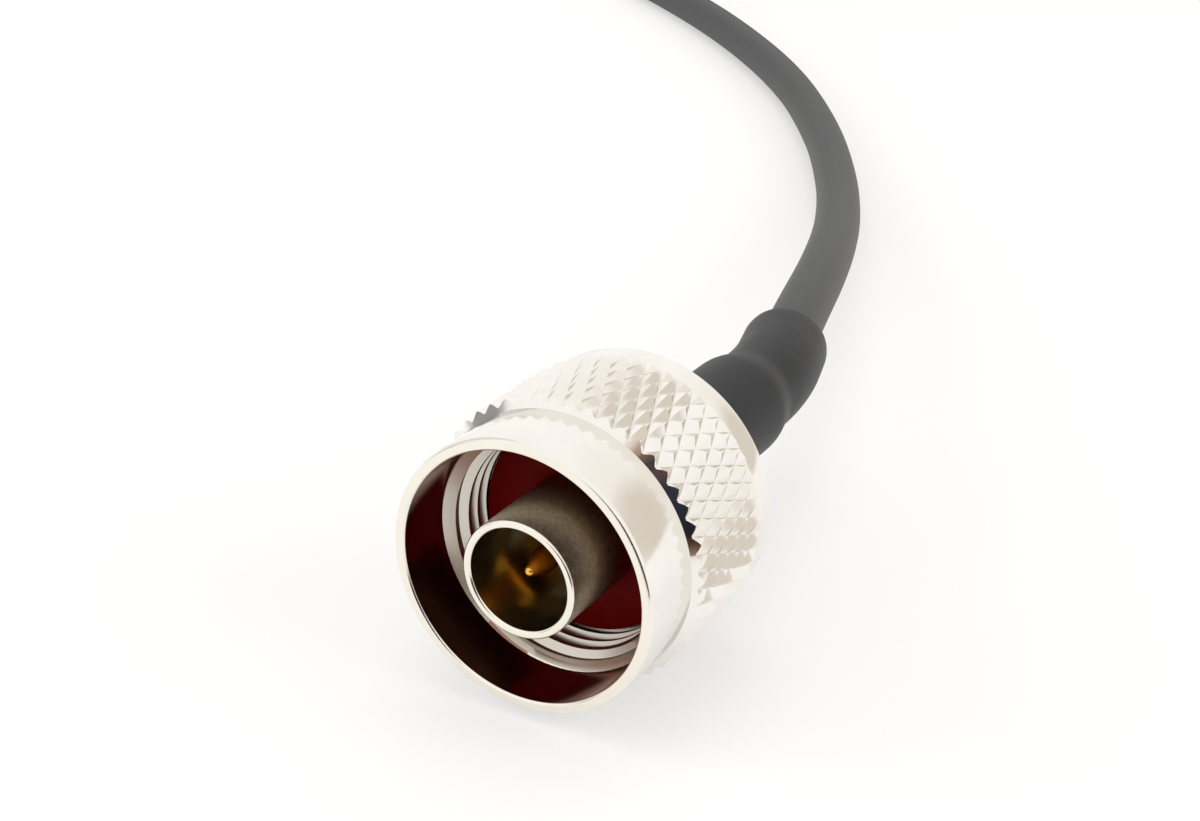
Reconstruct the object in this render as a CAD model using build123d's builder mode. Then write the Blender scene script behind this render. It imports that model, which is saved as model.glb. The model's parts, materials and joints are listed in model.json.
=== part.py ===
from build123d import *
import os
from math import ceil, cos, pi, radians, sin, tan

os.makedirs("parts", exist_ok=True)

# Coaxial jumper with a screw-coupled 50 ohm plug at each end, lying on a table on its knurled nuts.
# The first plug's axis is Y, its mouth faces -Y, and the origin is the centre of the front face of
# its outer contact, which is the plane that the plug mates on. All sizes are in millimetres.

# Mating face: outer contact, centre pin and gasket
contact_od = 8.1
contact_wall = 0.55
contact_length = 9.5
contact_bevel = 0.12
land_step = 0.2
pin_od = 1.66
pin_recess = 1.2
pin_cone = 1.7
pin_point = 0.3
shoulder_recess = 5.3
conductor_od = 3.04
gasket_thickness = 1.6
gasket_round = 0.2

# Coupling nut, from its mouth to its rear face
nut_recess = 0.15
thread_bore = 14.9
thread_depth = 0.5
mouth_depth = 4.3
mouth_step = 1.15
rim_wall = 0.8
rim_round = 0.3
rim_bevel = 0.12
band_length = 5.13
knurl_step = 0.3
knurl_depth = 0.44
knurl_length = 8.76
knurl_pitch = 1.41
knurl_teeth = 50
knurl_lead = 62
knurl_relief = 45
rear_band_length = 2.15
rear_band_step = 0.1
rear_bevel = 0.3

# Plug body behind the gasket, and the split ring that keeps the nut on it
flange_thickness = 1.7
flange_step = 0.1
barrel_od = 12.76
barrel_inset = 0.2
barrel_bevel = 0.4
ring_setback = 2.2
ring_thickness = 0.7
ring_depth = 0.75
ring_height = 1.35
ring_opening = 28
insulator_recess = 9.0
insulator_length = 5.4
shank_od = 2.4
cup_depth = 3.4
neck_length = 2.4
stem_length = 10.5
stem_wall = 0.4

# Cable: copper core, polythene insulation, braid and jacket, crimped in a ferrule
core_od = 0.9
dielectric_od = 2.95
braid_wall = 0.42
jacket_od = 4.5
ferrule_wall = 0.55
ferrule_length = 12.2
ferrule_bevel = 0.15

# Heat-shrunk sleeve over the ferrule and the start of the cable: straight before and after its bend
sleeve_wall = 0.87
tail_wall = 1.08
sleeve_shoulder = 2.0
sleeve_lead = 0.235
sleeve_tail = 3.3
sleeve_round = 0.75

# Clearances
running_fit = 0.07
slip_fit = 0.05
face_gap = 0.1
nut_play = 0.3
gasket_gap = 0.15
ring_gap = 0.15

# Put-away coil of the cable and its tie, and the second plug: places are from the first sleeve's bend
bend_share = 0.45
coil_turns_wide = 2
coil_turns_high = 2
coil_across = 52.0
coil_aside = -86.0
coil_beyond = 190.4
coil_entry = 186
coil_exit = 80
coil_lead_in = 16.0
coil_lead_out = 11.5
coil_climb = 0.4
far_aside = -7.0
far_beyond = 214.9
tie_thickness = 1.0
tie_width = 6.0
tie_spot = 300
tie_gap = 0.3

# Radii of the plug
contact_r = contact_od / 2
contact_bore_r = contact_r - contact_wall
land_r = contact_r + land_step
thread_r = thread_bore / 2
mouth_r = thread_r + mouth_step
band_r = mouth_r + rim_wall
root_r = band_r + knurl_step
tip_r = root_r + knurl_depth
rear_band_r = root_r - rear_band_step
gasket_r = thread_r - gasket_gap
flange_r = gasket_r - flange_step
barrel_r = barrel_od / 2
ring_seat_r = barrel_r - ring_depth
ring_r = ring_seat_r + slip_fit + ring_height
insulator_r = contact_bore_r - slip_fit
pin_r = pin_od / 2
conductor_r = conductor_od / 2
shank_r = shank_od / 2
core_r = core_od / 2
dielectric_r = dielectric_od / 2
stem_bore_r = dielectric_r + slip_fit
stem_r = stem_bore_r + stem_wall
braid_r = stem_r + slip_fit + braid_wall
jacket_r = jacket_od / 2
ferrule_bore_r = max(braid_r, jacket_r) + slip_fit
ferrule_r = ferrule_bore_r + ferrule_wall
sleeve_r = ferrule_r + slip_fit + sleeve_wall
tail_bore_r = jacket_r + slip_fit
tail_r = tail_bore_r + tail_wall

# Places along the plug's axis, from the mating plane backwards
nut_front = nut_recess
mouth_end = nut_front + mouth_depth
band_end = nut_front + band_length
knurl_end = band_end + knurl_length
nut_rear = knurl_end + rear_band_length
seat = contact_length
gasket_front = seat - gasket_thickness
flange_rear = seat + flange_thickness
web_front = flange_rear + nut_play
ring_front = flange_rear + ring_setback
ring_rear = ring_front + ring_thickness + 2 * slip_fit
barrel_rear = nut_rear - barrel_inset
neck_rear = barrel_rear + neck_length
stem_rear = neck_rear + stem_length
insulator_rear = insulator_recess + insulator_length
cup_rear = insulator_rear + face_gap
cup_bottom = cup_rear - cup_depth
jacket_front = stem_rear + face_gap
ferrule_front = neck_rear + face_gap
ferrule_rear = ferrule_front + ferrule_length
sleeve_front = barrel_rear + face_gap
tail_front = ferrule_rear + sleeve_shoulder
tail_corner = (tail_front + sleeve_lead - bend_share * jacket_front) / (1 - bend_share)
floor = -tip_r

# Route of the cable's jacket from the first plug, down on to the table and on to the coil
cable_low = floor + jacket_r
coil_spot = (coil_aside, tail_corner + coil_beyond)
coil_r = coil_across / 2
coil_low = floor + tie_thickness + tie_gap
coil_wide = coil_turns_wide * jacket_od
coil_high = coil_turns_high * jacket_od
outer_turn_r = coil_r + (coil_wide - jacket_od) / 2
lower_turn = coil_low + jacket_r
upper_turn = coil_low + coil_high - jacket_r


def on_outer_turn(angle, height):
    """A point on the middle of the coil's outermost turn."""
    spot = Vector(*coil_spot, height)
    return spot + Vector(outer_turn_r * cos(radians(angle)), outer_turn_r * sin(radians(angle)), 0)


def beside_coil(angle, away, height):
    """A point on the tangent to the coil's outermost turn, outside the coil."""
    along = Vector(sin(radians(angle)), -cos(radians(angle)), 0)
    return on_outer_turn(angle, height) + away * along


cable_route = [
    Vector(0, jacket_front, 0),
    Vector(0, tail_corner, 0),
    Vector(-3.2, tail_corner + 11.2, 0.02 * cable_low),
    Vector(-8.2, tail_corner + 28.0, 0.25 * cable_low),
    Vector(-14.6, tail_corner + 45.9, 0.60 * cable_low),
    Vector(-22.6, tail_corner + 64.3, 0.88 * cable_low),
    Vector(-32.9, tail_corner + 83.6, cable_low),
    Vector(-46.6, tail_corner + 103.4, cable_low),
    Vector(-65.0, tail_corner + 123.0, cable_low),
    Vector(-84.6, tail_corner + 139.9, cable_low),
    Vector(-104.5, tail_corner + 154.6, cable_low),
    beside_coil(coil_entry, -coil_lead_in, cable_low + coil_climb),
    on_outer_turn(coil_entry, lower_turn),
]

# Second plug beside the coil, facing along X
near_datum = Plane.XY
far_datum = Plane((far_aside, tail_corner + far_beyond, 0), x_dir=(0, 1, 0), z_dir=(0, 0, 1))
far_route = [
    far_datum.from_local_coords((0, jacket_front, 0)),
    far_datum.from_local_coords((0, tail_corner, 0)),
    far_datum.from_local_coords((0.6, tail_corner + 12.4, 0.08 * cable_low)),
    beside_coil(coil_exit, coil_lead_out, upper_turn + coil_climb),
    on_outer_turn(coil_exit, upper_turn),
]


def bend_radii(route):
    """The largest radius that the runs on both sides of each corner leave room for."""
    radii = []
    for before, corner, after in zip(route, route[1:], route[2:]):
        run_in, run_out = corner - before, after - corner
        turn = radians(run_in.get_angle(run_out))
        radii.append(bend_share * min(run_in.length, run_out.length) / tan(turn / 2))
    return radii


# Diamond knurl: rows of sharp four-sided pyramids, each row half a tooth round from the last,
# so that the grooves between them run both ways round the nut
def knurl_corner(row, step):
    r = tip_r if (row + step) % 2 == 0 else root_r
    turn = pi * step / knurl_teeth
    return Vector(r * cos(turn), knurl_end - row * knurl_pitch, r * sin(turn))


def knurl_facet(*corners):
    return Face(Wire.make_polygon([knurl_corner(row, step) for row, step in corners]))


knurl_rows = ceil(knurl_length / knurl_pitch)
steps = range(2 * knurl_teeth)
knurl_faces = [knurl_facet(*[(row, step) for step in steps]) for row in (0, knurl_rows)]
for row in range(knurl_rows):
    for step in steps:
        tip, root = (step, step + 1) if (row + step) % 2 == 0 else (step + 1, step)
        knurl_faces.append(knurl_facet((row, tip), (row, root), (row + 1, tip)))
        knurl_faces.append(knurl_facet((row + 1, root), (row + 1, tip), (row, root)))

# Both ends of the knurl are turned to a cone, from the front band and from the rear band outwards
lead_end = band_end + (tip_r - band_r) / tan(radians(knurl_lead))
relief_start = knurl_end - (tip_r - rear_band_r) / tan(radians(knurl_relief))
with BuildPart() as knurling:
    add(Solid(Shell(knurl_faces)))
    with BuildSketch(Plane.XY):
        with BuildLine():
            Polyline(
                (0, band_end),
                (band_r, band_end),
                (tip_r, lead_end),
                (tip_r + knurl_depth, lead_end),
                (tip_r + knurl_depth, relief_start),
                (tip_r, relief_start),
                (rear_band_r, knurl_end),
                (0, knurl_end),
                close=True,
            )
        make_face()
    revolve(axis=Axis.Y, mode=Mode.INTERSECT)
knurl = knurling.part.solid()


def build_plug(prefix, datum, route):
    """One plug with the cut-back end of its cable. Profiles are drawn as (radius, place on the axis)."""
    axis = Axis(datum.origin, datum.y_dir)

    # Coupling nut: turned and knurled brass, open mouth, threaded middle, web that pulls the flange
    with BuildPart(datum) as coupling_nut:
        with BuildSketch(datum) as blank:
            with BuildLine():
                Polyline(
                    (0, nut_front),
                    (band_r, nut_front),
                    (band_r, band_end),
                    (band_r - knurl_depth, band_end),
                    (band_r - knurl_depth, knurl_end),
                    (rear_band_r, knurl_end),
                    (rear_band_r, nut_rear - rear_bevel),
                    (rear_band_r - rear_bevel, nut_rear),
                    (0, nut_rear),
                    close=True,
                )
            make_face()
            rim = blank.vertices().group_by(Axis.Y)[0].sort_by(Axis.X)[-1]
            fillet(rim, min(rim_round, 0.45 * rim_wall))
        revolve(axis=axis)
        add(knurl)
        with BuildSketch(datum):
            with BuildLine():
                Polyline(
                    (0, nut_front),
                    (mouth_r + rim_bevel, nut_front),
                    (mouth_r, nut_front + rim_bevel),
                    (mouth_r, mouth_end),
                    (thread_r, mouth_end + mouth_step),
                    (thread_r, seat),
                    (thread_r + thread_depth, seat + thread_depth),
                    (thread_r + thread_depth, web_front),
                    (barrel_r + running_fit, web_front),
                    (barrel_r + running_fit, ring_front - ring_gap),
                    (ring_r + ring_gap, ring_front - ring_gap),
                    (ring_r + ring_gap, ring_rear + ring_gap),
                    (barrel_r + running_fit, ring_rear + ring_gap),
                    (barrel_r + running_fit, nut_rear - rear_bevel),
                    (barrel_r + running_fit + rear_bevel, nut_rear),
                    (0, nut_rear),
                    close=True,
                )
            make_face()
        revolve(axis=axis, mode=Mode.SUBTRACT)

    # Plug body: one turned piece from the outer contact to the crimp stem
    with BuildPart(datum) as plug_body:
        with BuildSketch(datum):
            with BuildLine():
                Polyline(
                    (contact_bore_r + contact_bevel, 0),
                    (contact_r - contact_bevel, 0),
                    (contact_r, contact_bevel),
                    (contact_r, gasket_front),
                    (land_r, gasket_front),
                    (land_r, seat),
                    (flange_r, seat),
                    (flange_r, flange_rear),
                    (barrel_r, flange_rear),
                    (barrel_r, ring_front),
                    (ring_seat_r, ring_front),
                    (ring_seat_r, ring_rear),
                    (barrel_r, ring_rear),
                    (barrel_r, barrel_rear - barrel_bevel),
                    (barrel_r - barrel_bevel, barrel_rear),
                    (ferrule_r, barrel_rear),
                    (ferrule_r, neck_rear),
                    (stem_r, neck_rear),
                    (stem_r, stem_rear),
                    (stem_bore_r, stem_rear),
                    (stem_bore_r, insulator_rear + slip_fit),
                    (contact_bore_r, insulator_rear + slip_fit),
                    (contact_bore_r, contact_bevel),
                    close=True,
                )
            make_face()
        revolve(axis=axis)

    # Insulator: turned bead that holds the centre pin in the body
    with BuildPart(datum) as insulator:
        with BuildSketch(datum):
            with BuildLine():
                Polyline(
                    (shank_r + slip_fit, insulator_recess),
                    (insulator_r, insulator_recess),
                    (insulator_r, insulator_rear),
                    (shank_r + slip_fit, insulator_rear),
                    close=True,
                )
            make_face()
        revolve(axis=axis)

    # Centre pin: pointed pin, thicker conductor behind its shoulder, shank with a solder cup
    with BuildPart(datum) as centre_pin:
        with BuildSketch(datum) as pin_half:
            with BuildLine():
                Polyline(
                    (0, pin_recess),
                    (pin_point, pin_recess),
                    (pin_r, pin_recess + pin_cone),
                    (pin_r, shoulder_recess),
                    (conductor_r, shoulder_recess),
                    (conductor_r, insulator_recess),
                    (shank_r, insulator_recess),
                    (shank_r, cup_rear),
                    (core_r + slip_fit, cup_rear),
                    (core_r + slip_fit, cup_bottom),
                    (0, cup_bottom),
                    close=True,
                )
            make_face()
            point = pin_half.vertices().group_by(Axis.Y)[0].sort_by(Axis.X)[-1]
            fillet(point, 0.6 * pin_point)
        revolve(axis=axis)

    # Gasket: flat silicone ring that seats on the flange round the outer contact
    with BuildPart(datum) as gasket:
        with BuildSketch(datum) as gasket_half:
            with BuildLine():
                Polyline(
                    (land_r + slip_fit, gasket_front),
                    (gasket_r, gasket_front),
                    (gasket_r, seat),
                    (land_r + slip_fit, seat),
                    close=True,
                )
            make_face()
            fillet(gasket_half.vertices().group_by(Axis.Y)[0], gasket_round)
        revolve(axis=axis)

    # Retaining ring: split spring ring in the body's groove, which the nut turns on
    with BuildPart(datum) as retaining_ring:
        with BuildSketch(datum):
            with BuildLine():
                Polyline(
                    (ring_seat_r + slip_fit, ring_front + slip_fit),
                    (ring_r, ring_front + slip_fit),
                    (ring_r, ring_rear - slip_fit),
                    (ring_seat_r + slip_fit, ring_rear - slip_fit),
                    close=True,
                )
            make_face()
        revolve(axis=axis, revolution_arc=360 - ring_opening)

    # Crimp ferrule: thin tube that clamps the braid on the stem and covers the jacket's end
    with BuildPart(datum) as crimp_ferrule:
        with BuildSketch(datum):
            with BuildLine():
                Polyline(
                    (ferrule_bore_r, ferrule_front),
                    (ferrule_r - ferrule_bevel, ferrule_front),
                    (ferrule_r, ferrule_front + ferrule_bevel),
                    (ferrule_r, ferrule_rear - ferrule_bevel),
                    (ferrule_r - ferrule_bevel, ferrule_rear),
                    (ferrule_bore_r, ferrule_rear),
                    close=True,
                )
            make_face()
        revolve(axis=axis)

    # Cut-back cable end: braid over the stem, insulation inside it, core in the pin's solder cup
    with BuildPart(datum) as cable_braid:
        with BuildSketch(datum):
            with BuildLine():
                Polyline(
                    (stem_r + slip_fit, ferrule_front),
                    (braid_r, ferrule_front),
                    (braid_r, stem_rear),
                    (stem_r + slip_fit, stem_rear),
                    close=True,
                )
            make_face()
        revolve(axis=axis)
    with BuildPart(datum) as cable_dielectric:
        with BuildSketch(datum):
            with BuildLine():
                Polyline(
                    (core_r + slip_fit, cup_rear + face_gap),
                    (dielectric_r, cup_rear + face_gap),
                    (dielectric_r, jacket_front),
                    (core_r + slip_fit, jacket_front),
                    close=True,
                )
            make_face()
        revolve(axis=axis)
    with BuildPart(datum) as cable_core:
        with BuildSketch(datum):
            with BuildLine():
                Polyline(
                    (0, cup_bottom),
                    (core_r, cup_bottom),
                    (core_r, jacket_front),
                    (0, jacket_front),
                    close=True,
                )
            make_face()
        revolve(axis=axis)

    # Heat-shrunk sleeve: straight over neck and ferrule, then drawn in on to the cable, which bends
    run_in, run_out = route[1] - route[0], route[2] - route[1]
    leaving = run_out.normalized()
    bend_reach = bend_share * min(run_in.length, run_out.length)
    tail_start = datum.from_local_coords((0, tail_front, 0))
    tail_end = route[1] + (bend_reach + sleeve_tail) * leaving
    tail_bend = bend_radii(route)[0]
    with BuildPart(datum) as shrink_sleeve:
        with BuildSketch(datum):
            with BuildLine():
                Polyline(
                    (tail_r, tail_front),
                    (0, tail_front),
                    (0, sleeve_front),
                    (sleeve_r, sleeve_front),
                    (sleeve_r, ferrule_rear - sleeve_wall),
                )
                Spline(
                    (sleeve_r, ferrule_rear - sleeve_wall),
                    (tail_r, tail_front),
                    tangents=((0, 1), (0, 1)),
                )
            make_face()
        revolve(axis=axis)
        with BuildLine(Plane.XY) as tail:
            FilletPolyline(tail_start, route[1], tail_end, radius=tail_bend)
        with BuildSketch(Plane(tail_start, z_dir=datum.y_dir)):
            Circle(tail_r)
        sweep(path=tail.wires()[0])
        tail_rim = shrink_sleeve.edges().filter_by(GeomType.CIRCLE).sort_by_distance(tail_end)[0]
        fillet(tail_rim, min(sleeve_round, 0.7 * tail_wall))
        with BuildSketch(datum):
            with BuildLine():
                Polyline(
                    (0, sleeve_front),
                    (ferrule_r + slip_fit, sleeve_front),
                    (ferrule_r + slip_fit, ferrule_rear + slip_fit),
                    (0, ferrule_rear + slip_fit),
                    close=True,
                )
            make_face()
        revolve(axis=axis, mode=Mode.SUBTRACT)
        with BuildLine(Plane.XY) as channel:
            FilletPolyline(route[0], route[1], tail_end + leaving, radius=tail_bend)
        with BuildSketch(Plane(route[0], z_dir=datum.y_dir)):
            Circle(tail_bore_r)
        sweep(path=channel.wires()[0], mode=Mode.SUBTRACT)

    pieces = {
        "coupling_nut": coupling_nut,
        "plug_body": plug_body,
        "insulator": insulator,
        "centre_pin": centre_pin,
        "gasket": gasket,
        "retaining_ring": retaining_ring,
        "crimp_ferrule": crimp_ferrule,
        "cable_braid": cable_braid,
        "cable_dielectric": cable_dielectric,
        "cable_core": cable_core,
        "shrink_sleeve": shrink_sleeve,
    }
    for node, piece in pieces.items():
        piece.part.label = prefix + node
        export_step(piece.part, f"parts/{prefix}{node}.step")


build_plug("", near_datum, cable_route)
build_plug("far_", far_datum, far_route)


# Cable jacket: from the first ferrule to the coil, and from the second ferrule to the coil
with BuildPart() as cable_run:
    with BuildLine() as run_line:
        FilletPolyline(*cable_route, radius=bend_radii(cable_route))
    with BuildSketch(Plane(cable_route[0], z_dir=near_datum.y_dir)):
        Circle(jacket_r)
    sweep(path=run_line.wires()[0])
cable_run.part.label = "cable_run"
export_step(cable_run.part, "parts/cable_run.step")

with BuildPart() as far_cable_run:
    with BuildLine() as far_line:
        FilletPolyline(*far_route, radius=bend_radii(far_route))
    with BuildSketch(Plane(far_route[0], z_dir=far_datum.y_dir)):
        Circle(jacket_r)
    sweep(path=far_line.wires()[0])
far_cable_run.part.label = "far_cable_run"
export_step(far_cable_run.part, "parts/far_cable_run.step")

# Coil: the outer shape of the cable's put-away turns, with a channel where each run joins it
coil_plane = Plane((*coil_spot, coil_low + coil_high / 2), x_dir=(1, 0, 0), z_dir=(0, -1, 0))
with BuildPart() as cable_coil:
    with BuildSketch(coil_plane):
        with Locations((coil_r, 0)):
            RectangleRounded(coil_wide, coil_high, 0.9 * jacket_r)
    revolve(axis=Axis(coil_plane.origin, (0, 0, 1)))
    for route, line, datum in ((cable_route, run_line, near_datum), (far_route, far_line, far_datum)):
        with BuildSketch(Plane(route[0], z_dir=datum.y_dir)):
            Circle(jacket_r + slip_fit)
        sweep(path=line.wires()[0], mode=Mode.SUBTRACT)
cable_coil.part.label = "cable_coil"
export_step(cable_coil.part, "parts/cable_coil.step")

# Tie: soft strap wrapped round the turns
tie_across = Vector(cos(radians(tie_spot)), sin(radians(tie_spot)), 0)
tie_plane = Plane(
    coil_plane.origin + coil_r * tie_across, x_dir=tie_across, z_dir=tie_across.cross(Vector(0, 0, 1))
)
with BuildPart() as coil_tie:
    with BuildSketch(tie_plane):
        RectangleRounded(
            coil_wide + 2 * (tie_gap + tie_thickness),
            coil_high + 2 * (tie_gap + tie_thickness),
            0.9 * jacket_r + tie_thickness,
        )
        RectangleRounded(
            coil_wide + 2 * tie_gap, coil_high + 2 * tie_gap, 0.9 * jacket_r, mode=Mode.SUBTRACT
        )
    extrude(amount=tie_width / 2, both=True)
coil_tie.part.label = "coil_tie"
export_step(coil_tie.part, "parts/coil_tie.step")
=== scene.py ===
import json
import math
import bmesh
import bpy
from mathutils import Matrix, Vector

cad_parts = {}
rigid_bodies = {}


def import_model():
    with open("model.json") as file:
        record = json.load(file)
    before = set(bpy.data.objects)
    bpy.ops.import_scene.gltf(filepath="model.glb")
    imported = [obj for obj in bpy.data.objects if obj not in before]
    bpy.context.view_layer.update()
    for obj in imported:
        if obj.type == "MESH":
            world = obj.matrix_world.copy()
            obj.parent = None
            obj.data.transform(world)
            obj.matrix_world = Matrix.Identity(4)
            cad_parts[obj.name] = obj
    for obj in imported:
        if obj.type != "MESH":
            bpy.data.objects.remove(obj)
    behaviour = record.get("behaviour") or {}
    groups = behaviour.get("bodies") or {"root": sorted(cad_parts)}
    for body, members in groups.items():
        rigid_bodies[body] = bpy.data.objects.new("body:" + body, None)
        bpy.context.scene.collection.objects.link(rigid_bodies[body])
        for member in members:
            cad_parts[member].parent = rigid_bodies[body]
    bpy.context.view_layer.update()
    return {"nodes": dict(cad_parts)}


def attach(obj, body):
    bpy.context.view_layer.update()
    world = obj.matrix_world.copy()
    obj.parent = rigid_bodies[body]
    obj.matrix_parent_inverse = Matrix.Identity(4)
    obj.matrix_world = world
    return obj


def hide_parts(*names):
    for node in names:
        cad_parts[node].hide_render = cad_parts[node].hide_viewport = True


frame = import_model()

# Plug body. One brass bar, turned from the thin outer contact in the mouth to the crimp stem under the
# cable, and plated with satin nickel. The first plug lies along Y and the second one along X, so each
# piece is made once in millimetres on the first plug's axis and put at both places.
contact_r, contact_bore, contact_bevel = 4.05, 3.5, 0.12
land_r, land_start = 4.25, 7.9
flange_r, flange_start, flange_end = 7.2, 9.5, 11.2
groove_r, groove_start, groove_end = 5.63, 13.4, 14.2
barrel_r, barrel_end, barrel_bevel = 6.38, 15.99, 0.4
neck_r, neck_end = 2.995, 18.39
stem_r, stem_bore, stem_end = 1.925, 1.525, 28.89
bead_front, bead_end = 9.0, 14.45
broken_edge = 0.03
far_x, far_y = -7.0, 251.0445
first_place = Matrix.Scale(0.001, 4)
quarter_turn = Matrix.Rotation(math.radians(90), 4, "Z")
second_place = first_place @ Matrix.Translation((far_x, far_y, 0)) @ quarter_turn
plugs = (("", first_place), ("far_", second_place))


def turned(outline, steps=144):
    """A bmesh of a closed outline of (radius, place along the plug) turned round the plug's axis."""
    bm = bmesh.new()
    corners = [bm.verts.new((radius, along, 0)) for radius, along in outline]
    edges = [bm.edges.new(pair) for pair in zip(corners, corners[1:] + corners[:1])]
    bmesh.ops.spin(
        bm,
        geom=corners + edges,
        cent=(0, 0, 0),
        axis=(0, 1, 0),
        angle=2 * math.pi,
        steps=steps,
        use_merge=True,
    )
    bmesh.ops.remove_doubles(bm, verts=bm.verts, dist=0.0005)
    bmesh.ops.dissolve_degenerate(bm, edges=bm.edges, dist=0.0005)
    bmesh.ops.recalc_face_normals(bm, faces=bm.faces)
    return bm


def break_edges(bm, offset):
    """Breaks the sharp edges with a small round, as tumbling and plating do."""
    least = math.radians(29)
    sharp = [e for e in bm.edges if len(e.link_faces) == 2 and e.calc_face_angle(0) > least]
    bmesh.ops.bevel(
        bm,
        geom=sharp,
        offset=offset,
        offset_type="OFFSET",
        segments=2,
        profile=0.5,
        affect="EDGES",
        material=-1,
        clamp_overlap=True,
    )


def put_on(bm, node, body, material, place, sharp=40, areas=()):
    """Makes the piece of that CAD node and hangs it on its body.

    Its place on the plug is kept as an attribute for the finishes. Each of the areas is a finish of its
    own, with the radii and the places along the plug between which it lies.
    """
    bmesh.ops.recalc_face_normals(bm, faces=bm.faces)
    mesh = bpy.data.meshes.new(node + "_finish")
    bm.to_mesh(mesh)
    bm.free()
    on_plug = mesh.attributes.new("on_plug", "FLOAT_VECTOR", "POINT")
    for vertex, spot in zip(mesh.vertices, on_plug.data):
        spot.vector = vertex.co
    mesh.materials.append(material)
    for area in areas:
        mesh.materials.append(area[0])
    for polygon in mesh.polygons:
        polygon.use_smooth = True
        radius, along = math.hypot(polygon.center.x, polygon.center.z), polygon.center.y
        for index, (finish, inner, outer, front, rear) in enumerate(areas):
            if inner < radius < outer and front < along < rear:
                polygon.material_index = index + 1
    mesh.transform(place)
    mesh.set_sharp_from_angle(angle=math.radians(sharp))
    piece = bpy.data.objects.new(node + "_finish", mesh)
    bpy.context.scene.collection.objects.link(piece)
    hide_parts(node)
    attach(piece, body)
    return piece


def lathe_finish(name, roughness, spread, marks, depth):
    """Plated metal with fine rings from the lathe and a gloss that varies over it, without its colour."""
    material = bpy.data.materials.new(name)
    material.use_nodes = True
    nodes, links = material.node_tree.nodes, material.node_tree.links
    shader = nodes["Principled BSDF"]
    shader.inputs["Metallic"].default_value = 1.0
    spot = nodes.new("ShaderNodeAttribute")
    spot.name = "spot"
    spot.attribute_name = "on_plug"
    stretch = nodes.new("ShaderNodeMapping")
    stretch.inputs["Scale"].default_value = (0.5, marks, 0.5)
    rings = nodes.new("ShaderNodeTexNoise")
    rings.inputs["Scale"].default_value = 1.0
    rings.inputs["Detail"].default_value = 3
    stains = nodes.new("ShaderNodeTexNoise")
    stains.name = "stains"
    stains.inputs["Scale"].default_value = 0.55
    stains.inputs["Detail"].default_value = 5
    gloss = nodes.new("ShaderNodeMapRange")
    gloss.inputs["To Min"].default_value = roughness - spread
    gloss.inputs["To Max"].default_value = roughness + spread
    bump = nodes.new("ShaderNodeBump")
    bump.inputs["Strength"].default_value = 0.25
    bump.inputs["Distance"].default_value = depth
    links.new(spot.outputs["Vector"], stretch.inputs["Vector"])
    links.new(stretch.outputs["Vector"], rings.inputs["Vector"])
    links.new(spot.outputs["Vector"], stains.inputs["Vector"])
    links.new(stains.outputs["Fac"], gloss.inputs["Value"])
    links.new(gloss.outputs["Result"], shader.inputs["Roughness"])
    links.new(rings.outputs["Fac"], bump.inputs["Height"])
    links.new(bump.outputs["Normal"], shader.inputs["Normal"])
    return material


def plating(name, colour, roughness, spread, marks, depth):
    """A lathe finish of one colour with faint stains."""
    material = lathe_finish(name, roughness, spread, marks, depth)
    nodes, links = material.node_tree.nodes, material.node_tree.links
    tint = nodes.new("ShaderNodeMix")
    tint.data_type = "RGBA"
    tint.inputs["A"].default_value = (*[0.9 * c for c in colour], 1)
    tint.inputs["B"].default_value = (*colour, 1)
    links.new(nodes["stains"].outputs["Fac"], tint.inputs["Factor"])
    links.new(tint.outputs["Result"], nodes["Principled BSDF"].inputs["Base Color"])
    return material


def plating_with_painted_shade(name, lit_rim_colour, shaded_colour, shade_length, roughness, spread, marks, depth):
    """A lathe finish with painted shade, light at the rim and darker inwards, and mottled with tarnish."""
    material = lathe_finish(name, roughness, spread, marks, depth)
    nodes, links = material.node_tree.nodes, material.node_tree.links
    apart = nodes.new("ShaderNodeSeparateXYZ")
    inwards = nodes.new("ShaderNodeMapRange")
    inwards.inputs["From Max"].default_value = shade_length
    # Painted shade: a lit colour at the rim that fades to a dark red-brown deeper in the mouth.
    fade = nodes.new("ShaderNodeMix")
    fade.data_type = "RGBA"
    fade.inputs["A"].default_value = (*lit_rim_colour, 1)
    fade.inputs["B"].default_value = (*shaded_colour, 1)
    mottle = nodes.new("ShaderNodeTexNoise")
    mottle.inputs["Scale"].default_value = 3.5
    mottle.inputs["Detail"].default_value = 8
    tarnish = nodes.new("ShaderNodeMix")
    tarnish.data_type = "RGBA"
    tarnish.blend_type = "MULTIPLY"
    tarnish.inputs["Factor"].default_value = 0.7
    links.new(nodes["spot"].outputs["Vector"], apart.inputs["Vector"])
    links.new(apart.outputs["Y"], inwards.inputs["Value"])
    links.new(inwards.outputs["Result"], fade.inputs["Factor"])
    links.new(nodes["spot"].outputs["Vector"], mottle.inputs["Vector"])
    links.new(fade.outputs["Result"], tarnish.inputs["A"])
    links.new(mottle.outputs["Fac"], tarnish.inputs["B"])
    links.new(tarnish.outputs["Result"], nodes["Principled BSDF"].inputs["Base Color"])
    return material


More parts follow.
